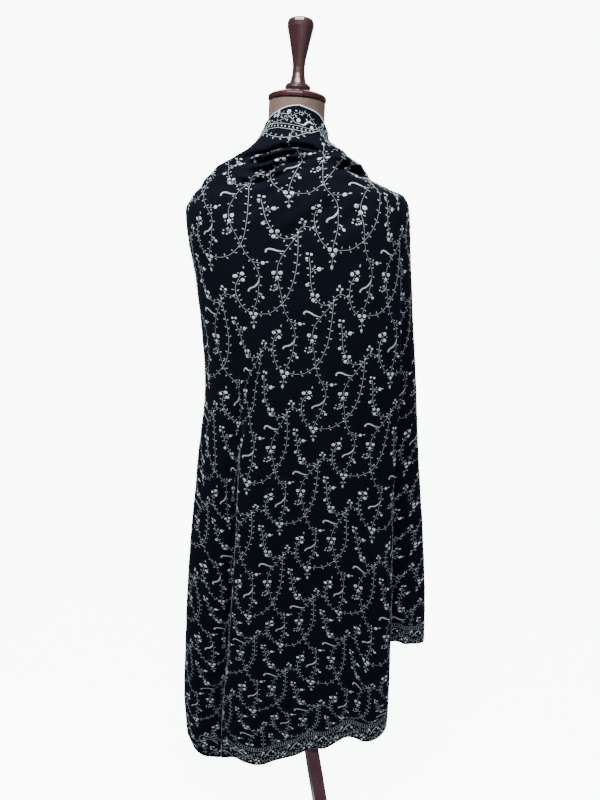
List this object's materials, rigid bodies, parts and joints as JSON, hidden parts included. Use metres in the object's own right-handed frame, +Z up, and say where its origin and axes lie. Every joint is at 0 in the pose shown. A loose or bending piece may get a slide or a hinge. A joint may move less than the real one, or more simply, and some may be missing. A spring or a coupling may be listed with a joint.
{
  "type": "pashmina shawl on a limbless dress form",
  "caption": "Fine wool shawl with pale vine embroidery, draped round the neck and shoulders of a limbless dress form on a turned pole and tripod.",
  "frame": {"origin": "on the floor, under the middle of the whole object's box", "axes": "+Z up, -Y towards the side that the form's back and the shawl's wide back panel face, +X to the right as seen from there"},
  "size_m": [0.5262, 0.4282, 1.571],
  "materials": {
    "pashmina": "soft matte wool with a faint nap",
    "embroidery": "pale silk thread, soft sheen",
    "form_linen": "plain matte linen",
    "mahogany": "dark polished wood"
  },
  "bodies": {
    "root": {"shawl_neck_wrap": "pashmina", "shawl_back": "pashmina", "shawl_left_side": "pashmina", "shawl_right_side": "pashmina", "shawl_front_left": "pashmina", "shawl_front_right": "pashmina", "form_torso": "form_linen", "form_neck": "form_linen", "neck_cap": "mahogany", "neck_finial": "mahogany", "stand_pole": "mahogany", "stand_hub": "mahogany", "stand_leg_1": "mahogany", "stand_leg_2": "mahogany", "stand_leg_3": "mahogany"}
  },
  "joints": []
}
